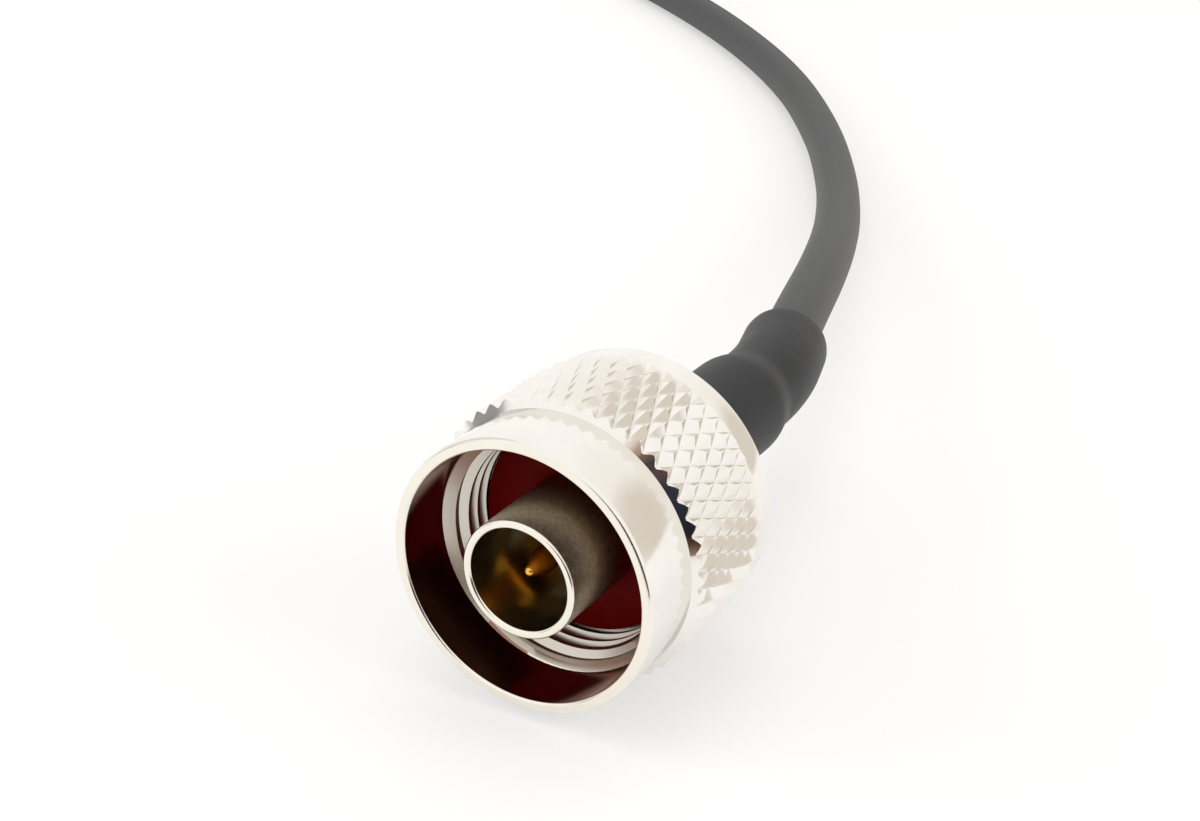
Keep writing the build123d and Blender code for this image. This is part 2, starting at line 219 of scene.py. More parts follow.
satin_nickel = plating("satin_nickel", (0.62, 0.58, 0.52), 0.28, 0.05, 14, 0.000003)
# The rims' cream colour is a painted warm highlight; their gloss varies with wear.
worn_nickel_painted_highlight = plating("worn_nickel_painted_highlight", (0.95, 0.905, 0.81), 0.20, 0.07, 6, 0.000006)
bored_nickel = plating("bored_nickel", (0.46, 0.39, 0.25), 0.20, 0.04, 14, 0.000002)
# Painted shade on the outer contact's outside: light at its rim, darker deeper in the mouth where the nut
# shades it.
shade_painted_nickel = plating_with_painted_shade(
    "shade_painted_nickel", (1.0, 0.93, 0.77), (0.40, 0.28, 0.18), 3.4, 0.32, 0.05, 14, 0.000003
)
body_outline = [
    (contact_bore + contact_bevel, 0),
    (contact_r - contact_bevel, 0),
    (contact_r, contact_bevel),
    (contact_r, land_start),
    (land_r, land_start),
    (land_r, flange_start),
    (flange_r, flange_start),
    (flange_r, flange_end),
    (barrel_r, flange_end),
    (barrel_r, groove_start),
    (groove_r, groove_start),
    (groove_r, groove_end),
    (barrel_r, groove_end),
    (barrel_r, barrel_end - barrel_bevel),
    (barrel_r - barrel_bevel, barrel_end),
    (neck_r, barrel_end),
    (neck_r, neck_end),
    (stem_r, neck_end),
    (stem_r, stem_end),
    (stem_bore, stem_end),
    (stem_bore, bead_end),
    (contact_bore, bead_end),
    (contact_bore, contact_bevel),
]
contact_rim = (worn_nickel_painted_highlight, contact_bore, contact_r + 0.01, -0.01, contact_bevel + 0.02)
contact_inside = (bored_nickel, contact_bore - 0.1, contact_bore + 0.1, contact_bevel + 0.01, bead_front)
# The outer contact's outside carries the painted shade.
contact_outside = (shade_painted_nickel, contact_r - 0.1, land_r + 0.05, contact_bevel - 0.02, land_start + 0.1)
for end, place in plugs:
    plug_body = turned(body_outline)
    break_edges(plug_body, broken_edge)
    finishes = [contact_rim, contact_inside, contact_outside]
    put_on(plug_body, end + "plug_body", "lead", satin_nickel, place, areas=finishes)

# Centre pin. Turned brass with gold plating: a pointed contact pin, a thicker conductor behind its
# shoulder, and a shank with a solder cup that the bead holds in the body.
pin_r, pin_tip, pin_cone_end = 0.83, 1.2, 2.9
conductor_r, shoulder = 1.52, 5.3
shank_r, shank_start, shank_end = 1.2, 9.0, 14.5
cup_r, cup_floor = 0.5, 11.1
gold_plate = plating("gold_plate", (0.88, 0.50, 0.09), 0.22, 0.05, 20, 0.000004)
pin_outline = [
    (0, pin_tip),
    (0.16, pin_tip + 0.02),
    (0.29, pin_tip + 0.13),
    (pin_r, pin_cone_end),
    (pin_r, shoulder),
    (conductor_r, shoulder),
    (conductor_r, shank_start),
    (shank_r, shank_start),
    (shank_r, shank_end),
    (cup_r, shank_end),
    (cup_r, cup_floor),
    (0, cup_floor),
]
for end, place in plugs:
    pin = turned(pin_outline, 72)
    break_edges(pin, broken_edge)
    put_on(pin, end + "centre_pin", "lead", gold_plate, place)

# Gasket. A flat ring of dark red silicone rubber, punched from sheet, that lies on the flange round the
# outer contact and seals the mating socket's rim. A thin lip at its front closes on to the contact.
gasket_r, gasket_hole, gasket_front, gasket_round = 7.3, 4.3, 7.86, 0.2
lip_hole, lip_rear = 4.07, 7.89
gasket_edge = 0.012


def rounded_edge(radius, front, size, steps):
    """Points of the arc that leads from a front face round on to the outside."""
    angles = [math.radians(90 * step / steps) for step in range(steps + 1)]
    return [(radius - size * (1 - math.sin(a)), front + size * (1 - math.cos(a))) for a in angles]


silicone = bpy.data.materials.new("red_silicone")
silicone.use_nodes = True
nodes, links = silicone.node_tree.nodes, silicone.node_tree.links
rubber = nodes["Principled BSDF"]
rubber.inputs["Roughness"].default_value = 0.5
rubber.inputs["Specular IOR Level"].default_value = 0.08
spot = nodes.new("ShaderNodeAttribute")
spot.attribute_name = "on_plug"
speckle = nodes.new("ShaderNodeTexNoise")
speckle.inputs["Scale"].default_value = 9
speckle.inputs["Detail"].default_value = 4
reds = nodes.new("ShaderNodeMix")
reds.data_type = "RGBA"
reds.inputs["A"].default_value = (0.15, 0.0012, 0.0008, 1)
reds.inputs["B"].default_value = (0.20, 0.002, 0.0012, 1)
grain = nodes.new("ShaderNodeBump")
grain.inputs["Strength"].default_value = 0.2
grain.inputs["Distance"].default_value = 0.00001
links.new(spot.outputs["Vector"], speckle.inputs["Vector"])
links.new(speckle.outputs["Fac"], reds.inputs["Factor"])
links.new(reds.outputs["Result"], rubber.inputs["Base Color"])
links.new(speckle.outputs["Fac"], grain.inputs["Height"])
links.new(grain.outputs["Normal"], rubber.inputs["Normal"])
gasket_outline = [
    (lip_hole, gasket_front),
    *rounded_edge(gasket_r, gasket_front, gasket_round, 2),
    (gasket_r, flange_start),
    (gasket_hole, flange_start),
    (gasket_hole, lip_rear),
    (lip_hole, lip_rear),
]
for end, place in plugs:
    gasket = turned(gasket_outline)
    break_edges(gasket, gasket_edge)
    put_on(gasket, end + "gasket", "lead", silicone, place)

# Coupling nut. Turned brass with bright nickel plating: a plain band round the open mouth, a cut diamond
# knurl between two turned cones, a plain rear band, and a right-hand thread of 24 turns to the inch inside.
# A spring ring in its groove keeps it on the plug body, where it turns freely.
nut_front, nut_rear = 0.15, 16.19
mouth_r, mouth_end = 8.6, 4.45
band_r, band_end = 9.4, 5.28
rim_round, rim_bevel, rear_bevel = 0.3, 0.12, 0.3
rear_band_r = 9.6
collar_bore = 6.45
nut_groove_r, nut_groove_start, nut_groove_end = 7.18, 13.25, 14.35
thread_pitch, thread_crest, thread_root, thread_end = 1.058, 7.45, 8.02, 11.5
thread_start, thread_turns, steps_a_turn = 4.4, 6, 96
ridge_sunk, ridge_foot, ridge_crest = 0.08, 0.45 * thread_pitch, 0.14 * thread_pitch
knurl_floor, knurl_root, knurl_tip = 8.96, 9.7, 10.14
knurl_end, knurl_pitch, knurl_steps = 14.04, 1.41, 100
knurl_rows = math.ceil((knurl_end - band_end) / knurl_pitch)
front_cone, rear_cone, cone_foot = 62, 45, 0.02
bright_nickel = plating("bright_nickel", (0.925, 0.895, 0.85), 0.12, 0.03, 10, 0.000002)
cut_nickel = plating("cut_nickel", (0.72, 0.68, 0.60), 0.30, 0.05, 16, 0.000003)
# The counterbore's dark red-brown colour is painted shade with a painted reflection of the red gasket.
counterbore_painted_red_shade = plating("counterbore_painted_red_shade", (0.40, 0.23, 0.19), 0.13, 0.03, 10, 0.000001)
nut_outline = [
    (mouth_r + rim_bevel, nut_front),
    *rounded_edge(band_r, nut_front, rim_round, 3),
    (band_r, band_end),
    (knurl_floor, band_end),
    (knurl_floor, knurl_end),
    (rear_band_r, knurl_end),
    (rear_band_r, nut_rear - rear_bevel),
    (rear_band_r - rear_bevel, nut_rear),
    (collar_bore + rear_bevel, nut_rear),
    (collar_bore, nut_rear - rear_bevel),
    (collar_bore, nut_groove_end),
    (nut_groove_r, nut_groove_end),
    (nut_groove_r, nut_groove_start),
    (collar_bore, nut_groove_start),
    (collar_bore, thread_end),
    (thread_root, thread_end),
    (thread_root, mouth_end + mouth_r - thread_root),
    (mouth_r, mouth_end),
    (mouth_r, nut_front + rim_bevel),
]


def to_radius(vertex, radius):
    """Moves a corner straight out from the plug's axis, or in towards it, to that radius."""
    share = radius / math.hypot(vertex.co.x, vertex.co.z)
    vertex.co.x *= share
    vertex.co.z *= share


def cut_thread(bm):
    """Adds the thread's ridge, swept round and along the bore, and cuts its start to the lead-in cone."""
    before = set(bm.verts)
    foot_r = thread_root + ridge_sunk
    section = (
        (foot_r, -ridge_foot),
        (thread_crest, -ridge_crest),
        (thread_crest, ridge_crest),
        (foot_r, ridge_foot),
    )
    ridge = [bm.verts.new((radius, thread_start + along, 0)) for radius, along in section]
    loop = [bm.edges.new(pair) for pair in zip(ridge, ridge[1:] + ridge[:1])]
    bmesh.ops.spin(
        bm,
        geom=ridge + loop,
        cent=(0, 0, 0),
        axis=(0, 1, 0),
        dvec=(0, thread_pitch / steps_a_turn, 0),
        angle=2 * math.pi * thread_turns,
        steps=thread_turns * steps_a_turn,
        use_merge=False,
    )
    for vertex in set(bm.verts) - before:
        cone_r = mouth_r + mouth_end - vertex.co.y
        if math.hypot(vertex.co.x, vertex.co.z) < cone_r:
            to_radius(vertex, cone_r)


def across(along):
    """Lays a flat shape across the plug's axis at that place along it."""
    return Matrix.Translation((0, along, 0)) @ Matrix.Rotation(math.radians(-90), 4, "X")


def draw_on(bm, edges):
    """Draws a ring of edges out by one row, and gives the new row's corners and edges."""
    drawn = bmesh.ops.extrude_edge_only(bm, edges=edges)["geom"]
    corners = [g for g in drawn if isinstance(g, bmesh.types.BMVert)]
    return corners, [g for g in drawn if isinstance(g, bmesh.types.BMEdge)]


def cut_knurl():
    """A bmesh of the knurl: rows of corners, every other one raised to a point, and the grooves joined up."""
    bm = bmesh.new()
    bmesh.ops.create_circle(bm, segments=knurl_steps, radius=knurl_root, matrix=across(knurl_end))
    edges = list(bm.edges)
    rows = [list(bm.verts)]
    for row in range(knurl_rows):
        ring, edges = draw_on(bm, edges)
        bmesh.ops.translate(bm, verts=ring, vec=(0, -knurl_pitch, 0))
        rows.append(ring)
    roots = []
    for row, ring in enumerate(rows):
        for vertex in ring:
            step = round(math.atan2(vertex.co.z, vertex.co.x) / (2 * math.pi) * knurl_steps)
            if (row + step) % 2 == 0:
                to_radius(vertex, knurl_tip)
            else:
                roots.append(vertex)
    bmesh.ops.connect_verts(bm, verts=roots, check_degenerate=False)
    return bm


def runs_along(edge):
    """True for an edge straight along the nut, from one row of the knurl to the next."""
    near, far = (corner.co.xz.normalized() for corner in edge.verts)
    return near.dot(far) > 0.999999


def turn_cone(bm, radius, along, steepness, way):
    """Cuts one end of the knurl to a cone that starts at the band, sector by sector, and fills it in."""
    slope = math.radians(steepness)
    bmesh.ops.split_edges(bm, edges=[e for e in bm.edges if runs_along(e)])
    sectors = {}
    for face in bm.faces:
        middle = face.calc_center_median()
        turn = math.atan2(middle.z, middle.x) % (2 * math.pi)
        sectors.setdefault(int(turn / (2 * math.pi) * knurl_steps), []).append(face)
    for sector, faces in sectors.items():
        turn = 2 * math.pi * (sector + 0.5) / knurl_steps
        out = Vector((math.cos(turn), 0, math.sin(turn)))
        edges = list({e for f in faces for e in f.edges})
        corners = list({v for f in faces for v in f.verts})
        bmesh.ops.bisect_plane(
            bm,
            geom=faces + edges + corners,
            dist=0.0001,
            plane_co=out * radius + Vector((0, along, 0)),
            plane_no=out * math.cos(slope) + Vector((0, way * math.sin(slope), 0)),
            clear_outer=True,
        )
    bmesh.ops.remove_doubles(bm, verts=bm.verts, dist=0.001)
    rim = [e for e in bm.edges if e.is_boundary and abs(e.verts[0].co.y - along) < 1]
    foot, edges = draw_on(bm, rim)
    for vertex in foot:
        to_radius(vertex, radius - cone_foot)
        vertex.co.y = along + way * cone_foot / math.tan(slope)


nut_rim = (worn_nickel_painted_highlight, mouth_r - 0.05, band_r - 0.1, nut_front - 0.05, nut_front + 0.17)
nut_bored = (counterbore_painted_red_shade, mouth_r - 0.05, mouth_r + 0.05, nut_front + 0.15, mouth_end + 0.05)
nut_tapped = (cut_nickel, thread_crest - 0.15, mouth_r - 0.02, mouth_end - 0.05, thread_end + 0.1)
for end, place in plugs:
    nut = turned(nut_outline, 192)
    break_edges(nut, broken_edge)
    cut_thread(nut)
    knurl = cut_knurl()
    turn_cone(knurl, band_r, band_end, front_cone, -1)
    turn_cone(knurl, rear_band_r, knurl_end, rear_cone, 1)
    knurl_mesh = bpy.data.meshes.new("knurl")
    knurl.to_mesh(knurl_mesh)
    knurl.free()
    nut.from_mesh(knurl_mesh)
    bpy.data.meshes.remove(knurl_mesh)
    finishes = [nut_rim, nut_bored, nut_tapped]
    put_on(nut, end + "coupling_nut", end + "nut", bright_nickel, place, 28, finishes)

# Cable. A black vinyl jacket over braid, insulation and core: out of the sleeve, down on to the table in
# one wide curve, and the rest of the lead put away as a coil of round turns that ends in the second plug.
# The ferrule of each plug clamps one end of it.
jacket_r = 2.25
low = jacket_r - knurl_tip
cable_start = 28.99
bend = 36.1445
coil_centre = Vector((-86.0, 226.5445))
outer_turn, inner_turn = 28.25, 23.75
lower_turn, upper_turn = -6.59, -2.09
first_angle, last_angle, turn_step = 186, 80, 20
lead_in, lead_out, climb = 16, 11.5, 0.4


def on_turn(angle, radius, height):
    """A point of the coil at that angle round its centre."""
    turn = math.radians(angle)
    return (coil_centre.x + radius * math.cos(turn), coil_centre.y + radius * math.sin(turn), height)


def beside_turn(angle, away, height):
    """A point on the straight line that leaves the coil's outer turn at that angle."""
    turn = math.radians(angle)
    x, y, z = on_turn(angle, outer_turn, height)
    return (x + away * math.sin(turn), y - away * math.cos(turn), z)


route = [
    (0, cable_start, 0),
    (0, bend, 0),
    (-3.2, bend + 11.2, 0.02 * low),
    (-8.2, bend + 28.0, 0.25 * low),
    (-14.6, bend + 45.9, 0.60 * low),
    (-22.6, bend + 64.3, 0.88 * low),
    (-32.9, bend + 83.6, low),
    (-46.6, bend + 103.4, low),
    (-65.0, bend + 123.0, low),
    (-84.6, bend + 139.9, low),
    (-104.5, bend + 154.6, low),
    beside_turn(first_angle, -lead_in, low + climb),
]
lanes = (
    (0, outer_turn, lower_turn),
    (320, outer_turn, lower_turn),
    (360, inner_turn, lower_turn),
    (640, inner_turn, lower_turn),
    (680, inner_turn, upper_turn),
    (960, inner_turn, upper_turn),
    (1000, outer_turn, upper_turn),
    (1186, outer_turn, upper_turn),
)
spread = 1 / math.cos(math.radians(turn_step / 2))
for (start, start_r, start_z), (stop, stop_r, stop_z) in zip(lanes, lanes[1:]):
    for angle in range(start, stop, turn_step):
        share = (angle - start) / (stop - start)
        radius = spread * (start_r + share * (stop_r - start_r))
        route.append(on_turn(first_angle - angle, radius, start_z + share * (stop_z - start_z)))
route += [
    beside_turn(last_angle, lead_out, upper_turn + climb),
    (far_x - bend - 12.4, far_y + 0.6, 0.08 * low),
    (far_x - bend, far_y, 0),
    (far_x - cable_start, far_y, 0),
]


def black_plastic(name, dark, light, scale, detail, specular, roughness, relief):
    """A black plastic skin: a grain between two shades and two roughnesses, with a fine relief."""
    material = bpy.data.materials.new(name)
    material.use_nodes = True
    nodes, links = material.node_tree.nodes, material.node_tree.links
    shader = nodes["Principled BSDF"]
    shader.inputs["Specular IOR Level"].default_value = specular
    spot = nodes.new("ShaderNodeTexCoord")
    skin = nodes.new("ShaderNodeTexNoise")
    skin.inputs["Scale"].default_value = scale
    skin.inputs["Detail"].default_value = detail
    shade = nodes.new("ShaderNodeMix")
    shade.data_type = "RGBA"
    shade.inputs["A"].default_value = (*dark, 1)
    shade.inputs["B"].default_value = (*light, 1)
    gloss = nodes.new("ShaderNodeMapRange")
    gloss.inputs["To Min"].default_value = roughness[0]
    gloss.inputs["To Max"].default_value = roughness[1]
    grain = nodes.new("ShaderNodeBump")
    grain.inputs["Strength"].default_value = relief[0]
    grain.inputs["Distance"].default_value = relief[1]
    links.new(spot.outputs["Object"], skin.inputs["Vector"])
    links.new(skin.outputs["Fac"], shade.inputs["Factor"])
    links.new(shade.outputs["Result"], shader.inputs["Base Color"])
    links.new(skin.outputs["Fac"], gloss.inputs["Value"])
    links.new(gloss.outputs["Result"], shader.inputs["Roughness"])
    links.new(skin.outputs["Fac"], grain.inputs["Height"])
    links.new(grain.outputs["Normal"], shader.inputs["Normal"])
    return material


vinyl = black_plastic(
    "black_vinyl",
    (0.024, 0.025, 0.026),
    (0.042, 0.043, 0.044),
    scale=2200,
    detail=4,
    specular=0.4,
    roughness=(0.42, 0.62),
    relief=(0.06, 0.00002),
)
jacket = bpy.data.curves.new("cable", "CURVE")
jacket.dimensions = "3D"
jacket.bevel_depth = jacket_r / 1000
jacket.bevel_resolution = 10
jacket.resolution_u = 12
jacket.use_fill_caps = True
strand = jacket.splines.new("NURBS")
strand.points.add(len(route) - 1)
for point, (x, y, z) in zip(strand.points, route):
    point.co = (x / 1000, y / 1000, z / 1000, 1)
strand.use_endpoint_u = True
strand.order_u = 3
jacket.materials.append(vinyl)
cable = bpy.data.objects.new("cable", jacket)
bpy.context.scene.collection.objects.link(cable)
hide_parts("cable_run", "far_cable_run", "cable_coil")
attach(cable, "lead")

# Heat-shrunk sleeve. A black tube of soft plastic, shrunk over the plug's neck, the ferrule and the start
# of the cable: it shows the ferrule's end as a shoulder, and follows the cable's first bend.
sleeve_stations = [
    (16.09, 3.05),
    (16.09, 3.915),
    (18.0, 3.915),
    (21.0, 3.90),
    (25.0, 3.905),
    (28.5, 3.92),
    (29.7, 3.915),
    (30.3, 3.87),
    (30.8, 3.78),
    (31.3, 3.66),
    (31.8, 3.53),
    (32.3, 3.43),
    (32.8, 3.385),
]
tail_r = 3.38
tail_steps = (
    (1.3, 1.0),
    (1.25, 1.0),
    (0.35, 0.985),
    (0.25, 0.93),
    (0.13, 0.85),
    (0.02, 0.76),
    (0.0, 0.68),
    (-1.5, 0.68),
)
bend_share, bend_steps = 0.45, 10
shrunk_plastic = black_plastic(
    "shrunk_plastic",
    (0.010, 0.010, 0.011),
    (0.019, 0.019, 0.021),
    scale=700,
    detail=6,
    specular=0.3,
    roughness=(0.42, 0.58),
    relief=(0.15, 0.00005),
)
for end, place in plugs:
    after_bend = Vector(route[-3] if end else route[2]) / 1000
    leaving = place.inverted() @ after_bend - Vector((0, bend, 0))
    reach = bend_share * min(bend - cable_start, leaving.length)
    leaving.normalize()
    straight = Vector((0, 1, 0))
    turn = straight.angle(leaving)
    hinge = straight.cross(leaving).normalized()
    bend_start = (bend - reach) * straight
    bend_centre = bend_start + reach / math.tan(turn / 2) * hinge.cross(straight)
    sleeve = bmesh.new()
    along, radius = sleeve_stations[0]
    bmesh.ops.create_circle(sleeve, segments=72, radius=radius, matrix=across(along))
    edges = list(sleeve.edges)
    for next_along, next_radius in sleeve_stations[1:]:
        ring, edges = draw_on(sleeve, edges)
        for vertex in ring:
            to_radius(vertex, next_radius)
        bmesh.ops.translate(sleeve, verts=ring, vec=(0, next_along - along, 0))
        along = next_along
    middle = along * straight
    part_turn = Matrix.Rotation(turn / bend_steps, 3, hinge)
    for step in range(bend_steps):
        ring, edges = draw_on(sleeve, edges)
        if step == 0:
            bmesh.ops.translate(sleeve, verts=ring, vec=bend_start - middle)
            middle = bend_start
        bmesh.ops.rotate(sleeve, cent=bend_centre, matrix=part_turn, verts=ring)
        middle = bend_centre + part_turn @ (middle - bend_centre)
    for ahead, size in tail_steps:
        ring, edges = draw_on(sleeve, edges)
        bmesh.ops.translate(sleeve, verts=ring, vec=ahead * leaving)
        middle = middle + ahead * leaving
        for vertex in ring:
            vertex.co = middle + (vertex.co - middle).normalized() * tail_r * size
    put_on(sleeve, end + "shrink_sleeve", "lead", shrunk_plastic, place)

# Pieces inside the plug: white bead, spring ring, crimped ferrule, braid, insulation and core. Each lies out
# of sight, keeps its CAD shape and gets the finish of its own material.


def plain_finish(name, low_colour, high_colour, scale, roughness, metallic):
    """A grained finish that varies between two colours."""
    material = bpy.data.materials.new(name)
    material.use_nodes = True
    nodes, links = material.node_tree.nodes, material.node_tree.links
    shader = nodes["Principled BSDF"]
    shader.inputs["Roughness"].default_value = roughness
    shader.inputs["Metallic"].default_value = metallic
    spot = nodes.new("ShaderNodeTexCoord")
    grain = nodes.new("ShaderNodeTexNoise")
    grain.inputs["Scale"].default_value = scale
    mix = nodes.new("ShaderNodeMix")
    mix.data_type = "RGBA"
    mix.inputs["A"].default_value = (*low_colour, 1)
    mix.inputs["B"].default_value = (*high_colour, 1)
    bump = nodes.new("ShaderNodeBump")
    bump.inputs["Strength"].default_value = 0.2
    bump.inputs["Distance"].default_value = 0.00003
    links.new(spot.outputs["Object"], grain.inputs["Vector"])
    links.new(grain.outputs["Fac"], mix.inputs["Factor"])
    links.new(mix.outputs["Result"], shader.inputs["Base Color"])
    links.new(grain.outputs["Fac"], bump.inputs["Height"])
    links.new(bump.outputs["Normal"], shader.inputs["Normal"])
    return material


inner_finish = {
    "insulator": plain_finish("white_bead", (0.80, 0.79, 0.75), (0.88, 0.87, 0.84), 900, 0.45, 0),
    "retaining_ring": plain_finish("spring_bronze", (0.50, 0.36, 0.22), (0.62, 0.46, 0.29), 700, 0.35, 1),
    "crimp_ferrule": plain_finish("ferrule_nickel", (0.62, 0.59, 0.54), (0.72, 0.70, 0.66), 800, 0.3, 1),
    "cable_braid": plain_finish("tinned_braid", (0.45, 0.44, 0.42), (0.70, 0.69, 0.66), 2500, 0.4, 1),
    "cable_dielectric": plain_finish("clear_polythene", (0.78, 0.78, 0.74), (0.86, 0.86, 0.82), 600, 0.4, 0),
    "cable_core": plain_finish("bare_copper", (0.62, 0.32, 0.19), (0.76, 0.44, 0.29), 1500, 0.3, 1),
}
for end, place in plugs:
    for node, finish in inner_finish.items():
        mesh = frame["nodes"][end + node].data
        mesh.materials.clear()
        mesh.materials.append(finish)

# Tie. A soft woven hook-and-loop strap round the coil's turns: one layer drawn round them, with its end
# laid over its start and pressed down. It keeps the put-away cable together.
strap_finish = plain_finish("woven_strap", (0.012, 0.012, 0.013), (0.035, 0.035, 0.037), 2600, 0.85, 0)
strap_half, strap_corner, strap_thick, strap_width = 5.25, 2.45, 0.9, 6.0
strap_spot, corner_steps = 300, 6
strap_side = strap_half - strap_corner
strap_turn = math.radians(strap_spot)
strap_out = Vector((math.cos(strap_turn), math.sin(strap_turn), 0))
strap_along = Vector((-strap_out.y, strap_out.x, 0))
coil_middle = Vector((coil_centre.x, coil_centre.y, (lower_turn + upper_turn) / 2))
strap_centre = coil_middle + (outer_turn + inner_turn) / 2 * strap_out
up = Vector((0, 0, 1))
strap_line = [(0, strap_half, 90)]
for quarter in range(5):
    for step in range(corner_steps + 1 if quarter < 4 else corner_steps - 1):
        angle = 90 * (1 + quarter + step / corner_steps)
        reach = strap_corner + strap_thick * min(1, max(0, (angle - 360) / 90))
        x = strap_side * (-1 if quarter % 4 in (0, 1) else 1) + reach * math.cos(math.radians(angle))
        z = strap_side * (1 if quarter % 4 in (0, 3) else -1) + reach * math.sin(math.radians(angle))
        strap_line.append((x, z, angle))
strap_band = bmesh.new()
section = bmesh.ops.create_circle(strap_band, segments=20, radius=1, cap_ends=True)["verts"]
for vertex in section:
    wide, high = vertex.co.x, vertex.co.y
    vertex.co.x = 0.5 * strap_width * math.copysign(abs(wide) ** 0.3, wide)
    vertex.co.y = 0.5 * strap_thick * math.copysign(abs(high) ** 0.5, high)
edges = list(strap_band.edges)
at = Matrix.Identity(4)
for index, (x, z, angle) in enumerate(strap_line):
    outward = math.cos(math.radians(angle)) * strap_out + math.sin(math.radians(angle)) * up
    there = Matrix((strap_along, outward, strap_along.cross(outward))).transposed().to_4x4()
    there.translation = strap_centre + x * strap_out + z * up
    if index > 0:
        section, edges = draw_on(strap_band, edges)
    bmesh.ops.transform(strap_band, matrix=there @ at.inverted(), verts=section)
    at = there
bmesh.ops.contextual_create(strap_band, geom=edges)
strap = put_on(strap_band, "coil_tie", "lead", strap_finish, first_place)

# Cord. The whole cable is soft. The second plug's inner pieces and its finished pieces are gathered in one
# list.
carried = [frame["nodes"]["far_" + node] for node in inner_finish]
carried += [p for p in bpy.data.objects if p.name.startswith("far_") and p.name.endswith("_finish")]

# Floor. A sheet of white paper under the plug. Half of what the camera and the plating see of it is plain
# white, so it shows only a light shadow.
floor_height = -knurl_tip / 1000
paper = bpy.data.materials.new("white_paper")
paper.use_nodes = True
nodes, links = paper.node_tree.nodes, paper.node_tree.links
sheet = nodes["Principled BSDF"]
sheet.inputs["Base Color"].default_value = (0.72, 0.71, 0.695, 1)
sheet.inputs["Roughness"].default_value = 0.9
sheet.inputs["Specular IOR Level"].default_value = 0.1
path = nodes.new("ShaderNodeLightPath")
glow = nodes.new("ShaderNodeEmission")
glow.inputs["Strength"].default_value = 1.0
white = nodes.new("ShaderNodeMixShader")
mirrored = nodes.new("ShaderNodeMath")
mirrored.operation = "MAXIMUM"
through = nodes.new("ShaderNodeMath")
through.operation = "MAXIMUM"
half = nodes.new("ShaderNodeMath")
half.operation = "MULTIPLY"
half.inputs[1].default_value = 0.5
links.new(path.outputs["Is Camera Ray"], mirrored.inputs[0])
links.new(path.outputs["Is Glossy Ray"], mirrored.inputs[1])
links.new(mirrored.outputs["Value"], through.inputs[0])
links.new(path.outputs["Is Transmission Ray"], through.inputs[1])
links.new(through.outputs["Value"], half.inputs[0])
links.new(half.outputs["Value"], white.inputs["Fac"])
links.new(sheet.outputs["BSDF"], white.inputs[1])
links.new(glow.outputs["Emission"], white.inputs[2])
links.new(white.outputs["Shader"], nodes["Material Output"].inputs["Surface"])
bm = bmesh.new()
bmesh.ops.create_grid(bm, x_segments=1, y_segments=1, size=3, matrix=Matrix.Translation((0, 0, floor_height)))
mesh = bpy.data.meshes.new("paper")
bm.to_mesh(mesh)
bm.free()
mesh.materials.append(paper)
floor = bpy.data.objects.new("paper", mesh)
bpy.context.scene.collection.objects.link(floor)

# Dark card: a painted reflection. It stands in front of the mouth, where the plating mirrors it as the dark
# side of the room, and it shows in reflections only. Its shade runs from brown at its foot through black to
# brown at its top.
card_corners = (
    (0.008, -0.0354, -0.0101),
    (0.040, -0.0169, -0.0101),
    (0.032, -0.0215, 0.008),
    (0.006, -0.0365, 0.019),
)
card_shades = (
    (0.0, (0.20, 0.08, 0.04)),
    (0.2, (0.008, 0.008, 0.01)),
    (0.75, (0.03, 0.036, 0.055)),
    (1.0, (0.30, 0.13, 0.08)),
)


def set_ramp(ramp, stops):
    """Gives a colour ramp its stops of (position, colour)."""
    steps = ramp.color_ramp.elements
    while len(steps) < len(stops):
        steps.new(0.5)
    for step, (position, colour) in zip(steps, stops):
        step.position = position
        step.color = (*colour, 1)


card_finish = bpy.data.materials.new("black_card")
card_finish.use_nodes = True
nodes, links = card_finish.node_tree.nodes, card_finish.node_tree.links
board = nodes["Principled BSDF"]
board.inputs["Roughness"].default_value = 0.9
board.inputs["Specular IOR Level"].default_value = 0.05
spot = nodes.new("ShaderNodeTexCoord")
apart = nodes.new("ShaderNodeSeparateXYZ")
height = nodes.new("ShaderNodeMapRange")
height.inputs["From Min"].default_value = card_corners[0][2]
height.inputs["From Max"].default_value = card_corners[3][2]
shades = nodes.new("ShaderNodeValToRGB")
set_ramp(shades, card_shades)
links.new(spot.outputs["Object"], apart.inputs["Vector"])
links.new(apart.outputs["Z"], height.inputs["Value"])
links.new(height.outputs["Result"], shades.inputs["Fac"])
links.new(shades.outputs["Color"], board.inputs["Base Color"])
bm = bmesh.new()
bm.faces.new([bm.verts.new(corner) for corner in card_corners])
mesh = bpy.data.meshes.new("black_card")
bm.to_mesh(mesh)
bm.free()
mesh.materials.append(card_finish)
card = bpy.data.objects.new("black_card", mesh)
bpy.context.scene.collection.objects.link(card)
card.visible_camera = False
card.visible_diffuse = False
card.visible_shadow = False

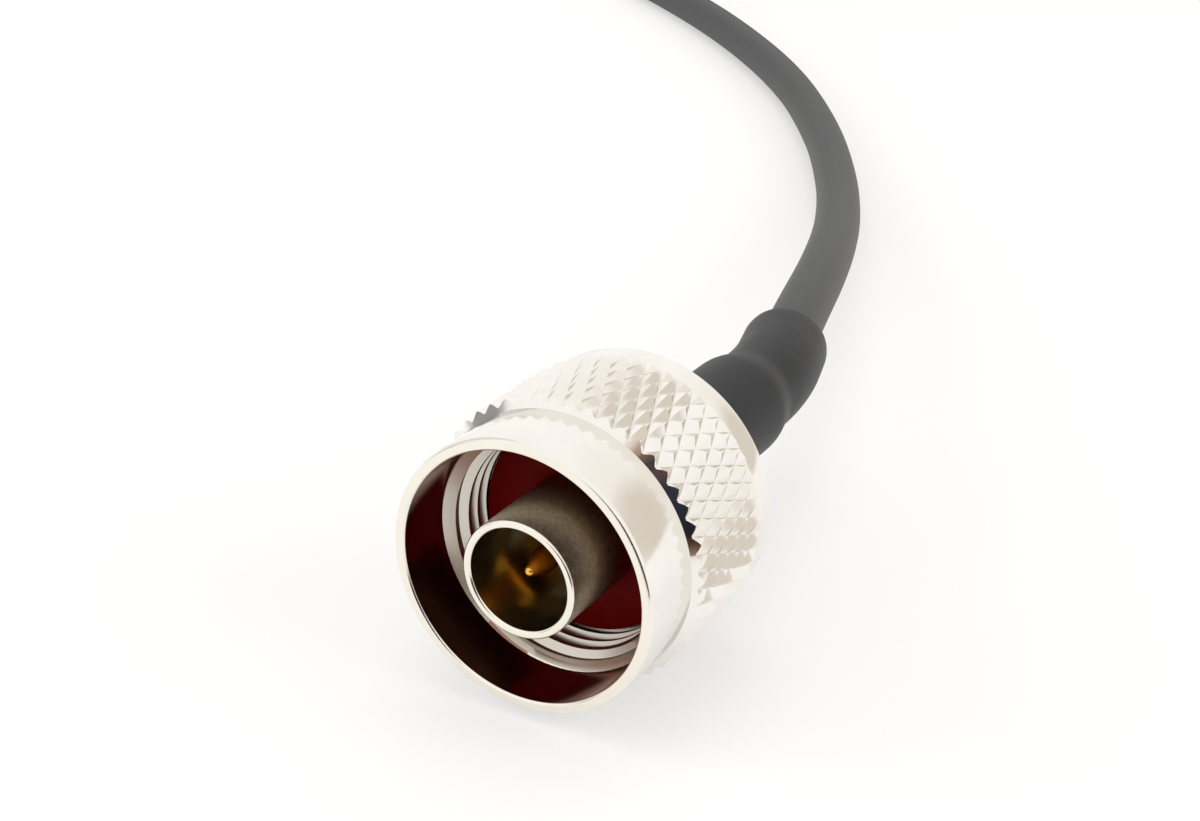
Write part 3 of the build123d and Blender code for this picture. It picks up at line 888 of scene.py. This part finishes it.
# Room. White all round, as the camera sees it. The plating also mirrors a warm wall on the right, a dark
# part in front of the mouth, a dark strip on the left and a greyer part above it.
world = bpy.data.worlds.new("studio")
world.use_nodes = True
bpy.context.scene.world = world
nodes, links = world.node_tree.nodes, world.node_tree.links
room = nodes["Background"]
room.inputs["Strength"].default_value = 1.0
plain_white = nodes.new("ShaderNodeBackground")
plain_white.inputs["Color"].default_value = (1, 1, 1, 1)
plain_white.inputs["Strength"].default_value = 1.0
path = nodes.new("ShaderNodeLightPath")
seen = nodes.new("ShaderNodeMixShader")
way = nodes.new("ShaderNodeTexCoord")
wall_shades = (
    (0.64, (1.07, 1.06, 1.04)),
    (0.72, (1.04, 1.03, 1.00)),
    (0.90, (1.01, 0.97, 0.92)),
    (0.97, (0.76, 0.71, 0.63)),
)
front_shades = (
    (0.88, (1, 1, 1)),
    (0.92, (0.40, 0.24, 0.16)),
    (0.945, (0.08, 0.05, 0.04)),
    (0.96, (0.025, 0.03, 0.045)),
)
left_shades = ((0.975, (1, 1, 1)), (0.985, (0.30, 0.30, 0.31)))
upper_shades = ((0.86, (1, 1, 1)), (0.95, (0.74, 0.74, 0.73)))


def toward(direction, stops):
    """A colour of the room that depends on the angle to one direction: stops are (cosine, colour)."""
    aim = nodes.new("ShaderNodeVectorMath")
    aim.operation = "DOT_PRODUCT"
    aim.inputs[1].default_value = Vector(direction).normalized()
    ramp = nodes.new("ShaderNodeValToRGB")
    set_ramp(ramp, stops)
    links.new(way.outputs["Generated"], aim.inputs[0])
    links.new(aim.outputs["Value"], ramp.inputs["Fac"])
    return ramp.outputs["Color"]


room_colour = toward((0.62, 0.76, 0.22), wall_shades)
for shade in (
    toward((0.38, -0.92, 0.06), front_shades),
    toward((-0.90, -0.44, 0.09), left_shades),
    toward((-0.80, 0.14, 0.55), upper_shades),
):
    both = nodes.new("ShaderNodeMix")
    both.data_type = "RGBA"
    both.blend_type = "MULTIPLY"
    both.inputs["Factor"].default_value = 1.0
    links.new(room_colour, both.inputs["A"])
    links.new(shade, both.inputs["B"])
    room_colour = both.outputs["Result"]
links.new(room_colour, room.inputs["Color"])
links.new(path.outputs["Is Camera Ray"], seen.inputs["Fac"])
links.new(room.outputs["Background"], seen.inputs[1])
links.new(plain_white.outputs["Background"], seen.inputs[2])
links.new(seen.outputs["Shader"], nodes["World Output"].inputs["Surface"])

# Lamps and camera. Three wide soft lamps, from above, the right and the left, that light the paper and the
# black pieces. The camera is close in front of the mouth, to the right and above.


def soft_light(name, place, size, power):
    """A round soft lamp that faces the plug and isn't mirrored in the plating."""
    lamp = bpy.data.lights.new(name, "AREA")
    lamp.shape = "DISK"
    lamp.size = size
    lamp.energy = power
    light = bpy.data.objects.new(name, lamp)
    light.location = place
    light.rotation_euler = (-Vector(place)).to_track_quat("-Z", "Y").to_euler()
    light.visible_glossy = False
    bpy.context.scene.collection.objects.link(light)


soft_light("top_light", (-0.10, 0.10, 0.80), 0.6, 1.5)
soft_light("right_light", (0.65, 0.10, 0.28), 0.6, 2.8)
soft_light("left_light", (-0.60, -0.20, 0.28), 0.6, 2.2)
lens = bpy.data.cameras.new("camera")
lens.sensor_width = 36
lens.lens = 60
lens.clip_start = 0.005
camera = bpy.data.objects.new("camera", lens)
camera.location = (0.05838, -0.0906, 0.06102)
camera.rotation_euler = (math.radians(65.33), 0, math.radians(30.08))
bpy.context.scene.collection.objects.link(camera)
bpy.context.scene.camera = camera
bpy.context.scene.view_settings.view_transform = "Standard"
